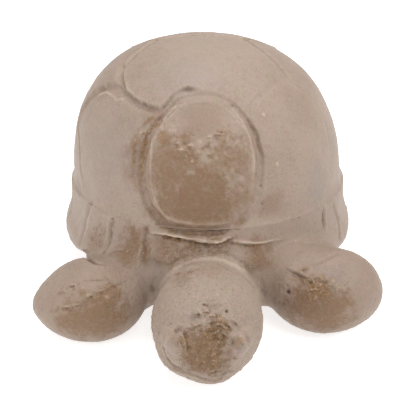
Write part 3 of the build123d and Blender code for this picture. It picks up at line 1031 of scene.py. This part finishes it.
def clay(name, seed, brownness, paleness, grittiness):
    """Unglazed clay: cloudy taupe, browner where the fire caught it, dirty and with painted shade in cuts,
    and with painted highlights on lips and raised bits.
    """
    shader = Shader(name)
    cloud = shader.grain(8.0, seed, 2.0)
    blotch = shader.grain(2.2, seed + 1.5, 3.0, 0.6)
    mottle = shader.grain(0.8, seed + 3.1, 3.0, 0.65)
    grit = shader.grain(0.3, seed + 4.7, 3.0, 0.65)
    crumb = shader.grain(0.75, seed + 6.3, 4.0, 0.7)
    hollow = shader.trace("hollow")
    crumbs = shader.trace("rust")
    warmed = shader.trace("warmth")

    speckle = (mottle - 0.5) * 1.1 + (grit - 0.5) * 1.8
    speckle = speckle * (grittiness + warmed * 1.4 + crumbs * 1.2)
    lightness = (cloud - 0.5) * 0.9 + (blotch - 0.5) * 0.8 + speckle
    lightness = lightness + shader.trace("paleness") * 0.5 + paleness
    colour = shader.mix(lightness.eased(0, 1), clay_colours["middle"], clay_colours["pale"])
    warmth = (blotch - 0.5) * 0.5 + speckle * 0.6 + warmed * 0.95 + brownness
    colour = shader.mix(warmth.eased(-0.1, 1.1), colour, clay_colours["brown"])
    colour = shader.mix(shader.trace("coolness") * 0.7, colour, clay_colours["grey"])
    cast = shader.mix(shader.grain(1.1, seed + 8.2, 4.0, 0.65).eased(0.36, 0.64), rosy_cast, green_cast)
    colour = shader.node("ShaderNodeVectorMath", {"operation": "MULTIPLY"}, {0: colour, 1: cast})
    crumbly = crumbs.eased(0.1, 0.8)
    layers = (
        ((crumbs * 1.2 + (crumb - 0.5) * 2.4).eased(0.35, 0.85) * crumbs.eased(0, 0.35) * 0.8, "rust"),
        ((0.45 - crumb).eased(0, 0.1) * crumbly * 0.7, "dirt"),
        ((crumb - 0.55).eased(0, 0.1) * crumbly * 0.6, "burr"),
        # Dirt and painted shade in cuts, pits, creases and nooks.
        ((hollow * 0.8).eased(0, 1.1), "dirt"),
        # Painted highlights on lips, crests and raised bits.
        (shader.trace("burr") * (0.45 + grit * 0.7), "burr"),
        (grit.eased(0.6, 0.7) * (0.3 + crumbs * 0.5), "burr"),
        ((1 - grit).eased(0.6, 0.72) * (0.35 + warmed * 0.35), "dirt"),
    )
    for share, tone in layers:
        colour = shader.mix(share, colour, clay_colours[tone])

    roughness = 0.5 + (mottle - 0.5) * 0.25 + crumbs * 0.25 + hollow * 0.15
    height = grit * (0.8 + crumbs * 1.0) + mottle * 1.2 + crumb * (0.4 + crumbs * 3.0)
    shader.finish(colour, roughness, shader.bump(height * grittiness, 0.1, 1.0))
    shader.surface.inputs["Specular IOR Level"].default_value = 0.35
    return shader.material


def grit_clay():
    """The pale grains that stick out of the clay."""
    shader = Shader("pale_grit")
    tint = shader.trace("grain_tint")
    colour = shader.mix(tint, clay_colours["rust"], clay_colours["grain"])
    roughness = 0.6 + (shader.grain(0.2, 2.0) - 0.5) * 0.3
    shader.finish(colour, roughness, shader.bump(shader.grain(0.12, 5.0), 0.03, 0.6))
    return shader.material


# Each clay's seed, and how brown, how pale and how gritty it is.
clay_values = {
    "shell_clay": (0.0, 0.0, 0.58, 1.1),
    "rim_clay": (11.0, 0.1, 0.62, 1.4),
    "belly_clay": (23.0, 0.2, 0.3, 1.4),
    "head_clay": (31.0, 0.02, 0.9, 2.7),
    "eye_clay": (43.0, 0.0, 0.4, 1.4),
    "foot_clay": (57.0, 0.1, 0.47, 1.8),
    "tail_clay": (71.0, 0.1, 0.45, 1.5),
}
clays = {name: clay(name, *values) for name, values in clay_values.items()}


def placed_object(name, data):
    """A new object at the origin of the scene."""
    made = bpy.data.objects.new(name, data)
    bpy.context.scene.collection.objects.link(made)
    return made


def make_piece(node, vertices, faces, slot, traces):
    """A closed mesh from points in millimetres, standing for its CAD node."""
    name = "turtle_" + node
    mesh = bpy.data.meshes.new(name)
    mesh.from_pydata((vertices * MILLIMETRE).tolist(), [], faces)
    for trace, amounts in traces.items():
        mesh.attributes.new(trace, "FLOAT", "POINT").data.foreach_set("value", amounts)
    work = bmesh.new()
    work.from_mesh(mesh)
    if work.calc_volume(signed=True) < 0:
        bmesh.ops.reverse_faces(work, faces=work.faces)
    work.to_mesh(mesh)
    work.free()
    mesh.shade_smooth()
    mesh.set_sharp_from_angle(angle=sharp_edge)
    mesh.materials.append(clays[slot])
    piece = placed_object(name, mesh)
    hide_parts(node)
    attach(piece, "root")


def ball(subdivisions):
    """The directions and faces of an evenly divided ball."""
    work = bmesh.new()
    bmesh.ops.create_icosphere(work, subdivisions=subdivisions, radius=1)
    directions = np.array([vertex.co for vertex in work.verts])
    faces = [[vertex.index for vertex in face.verts] for face in work.faces]
    work.free()
    return unit(directions), faces


def grid_faces(row_count, column_count, rows_close):
    """Faces between rings of points. Without rows_close, the last two points are the first ring's pole and
    the last ring's."""
    faces = []
    last = row_count if rows_close else row_count - 1
    for row in range(last):
        for column in range(column_count):
            beside = (column + 1) % column_count
            here, there = row * column_count, (row + 1) % row_count * column_count
            faces.append([here + column, here + beside, there + beside, there + column])
    if not rows_close:
        top = row_count * column_count
        for column in range(column_count):
            beside = (column + 1) % column_count
            faces.append([beside, column, top])
            end = (row_count - 1) * column_count
            faces.append([end + column, end + beside, top + 1])
    return faces


def lump_piece(name, middle, furthest, fineness, names, slot):
    """One lump of clay, drawn as rays from its middle. Gives its skin."""
    directions, faces = ball(fineness)
    points = reach(np.array(middle, float), directions, outside_piece(name, names), furthest)
    points, traces = finish_skin(points, name, names)
    make_piece(name, points, faces, slot, traces)
    return points, faces, traces


# How the skins are drawn: columns of points round the shell, closer together at the front, and points round
# the band's section.
column_count = 480
front_crowding = 0.5
section_count = 128
band_middle_share = 0.98
band_half_thickness = 2.5
outside_rises = np.linspace(math.pi / 2, 0, 171)[1:]
inside_rises = np.linspace(0, math.pi / 2, 17)[:-1]
# The belly's rays leave from this height. They spread less than the shell and end past its seam.
belly_start_height = 11.0
belly_steps = 44
belly_ring_count = 96
hollow_ring_count = 20
belly_spread_share = 0.92
last_fall = 2.0
lowest_fall = 0.16
hollow_drop_share = 0.6
vent_overrun = 0.2
steps_round = np.linspace(0, 2 * math.pi, column_count, endpoint=False)
turns = steps_round - front_crowding * np.sin(steps_round)
round_shell = np.stack((np.sin(turns) * shell_half_width, -np.cos(turns) * shell_half_length), axis=1)


def shell_directions(rise):
    """One ring of directions from the shell's middle, at this rise from its seam."""
    up = np.full(column_count, dome_height * math.sin(rise))
    return unit(np.column_stack((round_shell * math.cos(rise), up)) @ shell.axes)


def dome_piece():
    """The upper bowl: its skin from the top down to the seam, and its hollow back up. Gives its skin."""
    outside = outside_piece("dome", foot_names)
    hollow = dome_form(wall).depth
    directions = np.concatenate([shell_directions(rise) for rise in outside_rises])
    points = reach(shell.middle, directions, outside, furthest_shell)
    seam_ring = shell.local(points[-column_count:])
    seam_ring[:, 2] = 0
    points[-column_count:] = shell.world(seam_ring)
    top = reach(shell.middle, shell.axes[2:], outside, furthest_shell)
    skin_points, traces = finish_skin(np.concatenate((points, top)), "dome", foot_names)
    rings = [reach(shell.middle, shell_directions(rise), hollow, furthest_hollow) for rise in inside_rises]
    inside_top = reach(shell.middle, shell.axes[2:], hollow, furthest_hollow)
    unseen = np.zeros(len(rings) * column_count)
    points = np.concatenate([skin_points[:-1]] + rings + [skin_points[-1:], inside_top])
    faces = grid_faces(len(outside_rises) + len(rings), column_count, False)
    whole = {}
    for trace, amounts in traces.items():
        whole[trace] = np.concatenate((amounts[:-1], unseen, amounts[-1:], (0,)))
        traces[trace] = amounts[:-1]
    make_piece("shell_dome", points, faces, "shell_clay", whole)
    skin_faces = grid_faces(len(outside_rises), column_count, True)[:-column_count]
    return skin_points[:-1], skin_faces, traces


def arch_height(across, arch):
    """How high an arch over the neck or the tail is, this far across."""
    half_width, height = arch
    return height * np.sqrt(np.maximum(1 - (across / half_width) ** 2, 0))


def rim_piece():
    """The band, drawn as rays from the middle of its section at each column. Gives its skin."""
    middle_ring = round_shell * band_middle_share
    x, y, z = shell.world(np.column_stack((middle_ring, np.zeros(column_count)))).T
    arch = np.where(y < 0, arch_height(x, front_arch), arch_height(x, rear_arch))
    bottom = np.maximum(arch, z - rim_depth)
    centres = np.column_stack((x, y, (z + bottom) / 2))
    outward = unit(np.column_stack((round_shell, np.zeros(column_count))))
    rings = []
    for angle in np.linspace(0, 2 * math.pi, section_count, endpoint=False):
        directions = outward * math.cos(angle) * band_half_thickness
        directions[:, 2] = math.sin(angle) * (z - bottom) / 2
        rings.append(unit(directions))
    starts = np.tile(centres, (section_count, 1))
    outside = outside_piece("rim", body_names)
    points = reach(starts, np.concatenate(rings), outside, furthest_band, band_steps)
    points, traces = finish_skin(points, "rim", body_names)
    faces = grid_faces(section_count, column_count, True)
    make_piece("shell_rim", points, faces, "rim_clay", traces)
    return points, faces, traces


def belly_piece():
    """The lower bowl: its skin from the vent out and up to the seam, and its hollow back to the vent."""
    halves = (shell_half_width - wall, shell_half_length - wall, seam_height - floor_thickness)
    hollow = Egg((0, 0, seam_height), -shell_up, halves, dome_fullness_share)
    start = np.array((0, 0, belly_start_height))
    rings = []
    for fall in np.linspace(math.atan2(vent_radius, belly_start_height), last_fall, belly_ring_count):
        down = np.full(column_count, -math.cos(fall) * shell_half_width)
        rings.append(unit(np.column_stack((round_shell * math.sin(fall) * belly_spread_share, down))))
    outside = outside_piece("belly", body_names)
    points = reach(start, np.concatenate(rings), outside, furthest_belly, belly_steps)
    skin_points, traces = finish_skin(points, "belly", body_names)
    round_vent = np.column_stack((np.sin(turns), -np.cos(turns))) * vent_radius
    skin_points[:column_count] = np.column_stack((round_vent, np.zeros(column_count)))
    inside = []
    for fall in np.linspace(math.pi / 2, lowest_fall, hollow_ring_count):
        down = np.full(column_count, -math.cos(fall) * shell_half_width * hollow_drop_share)
        directions = unit(np.column_stack((round_shell * math.sin(fall), down)) @ shell.axes)
        inside.append(reach(hollow.middle, directions, hollow.depth, furthest_hollow))
    vent_top = np.column_stack((round_vent, np.full(column_count, floor_thickness + vent_overrun)))
    points = np.concatenate([skin_points] + inside + [vent_top])
    unseen = np.zeros(len(points) - len(skin_points))
    whole = {trace: np.concatenate((amounts, unseen)) for trace, amounts in traces.items()}
    faces = grid_faces(len(points) // column_count, column_count, True)
    make_piece("belly", points, faces, "belly_clay", whole)


class Scattering(Tree):
    """A tree of geometry nodes, with inputs that have names."""

    def __init__(self, name, inputs):
        self.group = bpy.data.node_groups.new(name, "GeometryNodeTree")
        super().__init__(self.group.nodes, self.group.links)
        face = self.group.interface
        face.new_socket("Geometry", in_out="INPUT", socket_type="NodeSocketGeometry")
        face.new_socket("Geometry", in_out="OUTPUT", socket_type="NodeSocketGeometry")
        self.identifiers = {}
        for input_name, kind in inputs.items():
            socket = face.new_socket(input_name, in_out="INPUT", socket_type="NodeSocket" + kind)
            self.identifiers[input_name] = socket.identifier
        self.bed = self.node("NodeGroupInput", output="Geometry")
        self.exit = self.nodes.new("NodeGroupOutput")

    def random(self, kind, inputs, output=0):
        return self.node("FunctionNodeRandomValue", {"data_type": kind}, inputs, output)


def grain_tree(material):
    """Scatters small angular grains over the skin, thickest where the clay is crumbly."""
    kinds = {"Grains per square metre": "Float", "Smallest": "Float", "Largest": "Float", "Seed": "Int"}
    tree = Scattering("scattered_grains", kinds)
    given = tree.bed.beside
    seed = given("Seed")
    share = tree.node("GeometryNodeInputNamedAttribute", {"data_type": "FLOAT"}, {"Name": "grain_share"})
    density = share * given("Grains per square metre")
    points = tree.node("GeometryNodeDistributePointsOnFaces", None,
                       {"Mesh": tree.bed, "Density": density, "Seed": seed}, "Points")
    grain = tree.node("GeometryNodeMeshUVSphere", None, {"Segments": 6, "Rings": 4, "Radius": 1.0})
    size = tree.random("FLOAT", {2: given("Smallest"), 3: given("Largest"), "Seed": seed}, 1)
    squash = tree.random("FLOAT_VECTOR", {0: (0.6, 0.5, 0.35), 1: (1.3, 1.0, 0.7), "Seed": 3})
    scale = tree.node("ShaderNodeVectorMath", {"operation": "SCALE"}, {0: squash, "Scale": size})
    placed = tree.node("GeometryNodeInstanceOnPoints", None, {
        "Points": points, "Instance": grain, "Rotation": points.beside("Rotation"), "Scale": scale,
    })
    tint = tree.random("FLOAT", {2: 0.0, 3: 1.0, "Seed": 9}, 1)
    tinted = tree.node("GeometryNodeStoreNamedAttribute", {"data_type": "FLOAT", "domain": "INSTANCE"},
                       {"Geometry": placed, "Name": "grain_tint", "Value": tint})
    real = tree.node("GeometryNodeRealizeInstances", None, {"Geometry": tinted})
    painted = tree.node("GeometryNodeSetMaterial", None, {"Geometry": real, "Material": material})
    tree.fill(tree.exit.inputs[0], painted)
    return tree


def grains(skins):
    """All the grains of the figurine, as one piece."""
    vertices, faces, shares = [], [], []
    for skin_points, skin_faces, traces in skins:
        first = len(vertices)
        vertices.extend((skin_points * MILLIMETRE).tolist())
        faces.extend([[corner + first for corner in face] for face in skin_faces])
        low, high = figurine_box
        room = np.all((skin_points > low + grain_sizes[1]) & (skin_points < high - grain_sizes[1]), axis=1)
        share = plain_share + crumbly_share * traces["rust"] + burr_share * traces["burr"]
        shares.extend((room * share).tolist())
    bed_mesh = bpy.data.meshes.new("grain_bed")
    bed_mesh.from_pydata(vertices, [], faces)
    bed_mesh.attributes.new("grain_share", "FLOAT", "POINT").data.foreach_set("value", shares)
    bed = placed_object("grain_bed", bed_mesh)
    tree = grain_tree(grit_clay())
    modifier = bed.modifiers.new("scattered_grains", "NODES")
    modifier.node_group = tree.group
    chosen = {
        "Grains per square metre": grains_per_square_metre,
        "Smallest": grain_sizes[0] * MILLIMETRE,
        "Largest": grain_sizes[1] * MILLIMETRE,
        "Seed": grain_seed,
    }
    for input_name, value in chosen.items():
        modifier[tree.identifiers[input_name]] = value
    dressed = bed.evaluated_get(bpy.context.evaluated_depsgraph_get())
    mesh = bpy.data.meshes.new_from_object(dressed)
    bpy.data.objects.remove(bed)
    bpy.data.meshes.remove(bed_mesh)
    mesh.name = "turtle_grains"
    piece = placed_object("turtle_grains", mesh)
    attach(piece, "root")


marks = figurine_marks()
dents = []
for names, rows in dent_pixels.items():
    for x, y, radius, depth, pit_shade in rows:
        dents.append((seen_at([(x, y)], names)[0], radius, depth, pit_shade))
chooser = np.random.default_rng(crumb_seed)
for names, rows, spread, count in crumbling_pixels:
    dents.extend(crumbs_along(names, rows, spread, count, chooser))
patches = []
for (trace, names), rows in patch_pixels.items():
    for x, y, radius, strength in rows:
        patches.append((trace, seen_at([(x, y)], names)[0], radius, strength))

# An eye's rays leave from this far out of its middle.
eye_start = 0.8
eye_starts = [form.middle + eye_start * form.axes[0] for form in (lumps["eye_left"], lumps["eye_right"])]
# The round lumps: where in the lump its rays start, how far they reach, how finely their ball is divided,
# which lumps shape the skin, and the clay.
round_pieces = {
    "head": (head.middle, 16, 7, front_names, "head_clay"),
    "neck_collar": ((0, -32.5, 9.0), 16, 7, front_names, "head_clay"),
    "eye_left": (eye_starts[0], 6, 6, front_names, "eye_clay"),
    "front_left_foot": ((22, -30.8, 7.2), 22, 7, front_names, "foot_clay"),
    "rear_left_foot": ((20, 30, 6), 20, 6, rear_names, "foot_clay"),
    "eye_right": (eye_starts[1], 6, 6, front_names, "eye_clay"),
    "front_right_foot": ((-22, -33.9, 7.2), 22, 7, front_names, "foot_clay"),
    "rear_right_foot": ((-20, 30, 6), 20, 6, rear_names, "foot_clay"),
    "tail": ((0, 35, 5.4), 12, 6, rear_names, "tail_clay"),
}
grainy_lumps = ("head", "front_left_foot", "front_right_foot")

skins = [dome_piece(), rim_piece()]
belly_piece()
for name, values in round_pieces.items():
    lump_skin = lump_piece(name, *values)
    if name in grainy_lumps:
        skins.append(lump_skin)
grains(skins)

camera_data = bpy.data.cameras.new("camera")
camera_data.sensor_width = sensor_width
camera_data.lens = camera_lens
camera_data.clip_start = 0.01
camera = placed_object("camera", camera_data)
camera.location = camera_place * MILLIMETRE
camera.rotation_euler = Vector(camera_aim - camera_place).to_track_quat("-Z", "Y").to_euler()
bpy.context.scene.camera = camera

# Square soft lights that face the figurine: place in metres, size in metres and power in watts.
light_aim = Vector((0, 0, 0.02))
soft_lights = {
    "light_above": ((0.04, 0.15, 0.48), 0.4, 2.0),
    "light_key": ((0.12, -0.36, 0.42), 0.25, 1.25),
    "light_left": ((-0.42, -0.2, 0.16), 0.35, 0.95),
    "light_right": ((0.44, -0.1, 0.28), 0.35, 0.62),
}
for name, (place, size, power) in soft_lights.items():
    data = bpy.data.lights.new(name, "AREA")
    data.size = size
    data.energy = power
    light = placed_object(name, data)
    light.location = place
    light.rotation_euler = (light_aim - Vector(place)).to_track_quat("-Z", "Y").to_euler()

surrounding_light = 0.36
world = bpy.data.worlds.new("studio")
world.use_nodes = True
world.node_tree.nodes["Background"].inputs["Color"].default_value = (1, 1, 1, 1)
world.node_tree.nodes["Background"].inputs["Strength"].default_value = surrounding_light
bpy.context.scene.world = world
bpy.context.scene.view_settings.view_transform = "Standard"

# The figurine stands on a light table, which keeps its shadow faint.
floor_half = 4.0
floor_drop = 0.0002
floor_finish = {
    "Base Color": (0.6, 0.6, 0.6, 1),
    "Roughness": 0.9,
    "Emission Color": (1, 1, 1, 1),
    "Emission Strength": 0.72,
}
floor_mesh = bpy.data.meshes.new("floor")
corners = [(x * floor_half, y * floor_half, 0) for x, y in ((-1, -1), (1, -1), (1, 1), (-1, 1))]
floor_mesh.from_pydata(corners, [], [(0, 1, 2, 3)])
floor_material = bpy.data.materials.new("pale_paper")
floor_material.use_nodes = True
for socket, value in floor_finish.items():
    floor_material.node_tree.nodes["Principled BSDF"].inputs[socket].default_value = value
floor_mesh.materials.append(floor_material)
floor = placed_object("floor", floor_mesh)
floor.location.z = -floor_drop
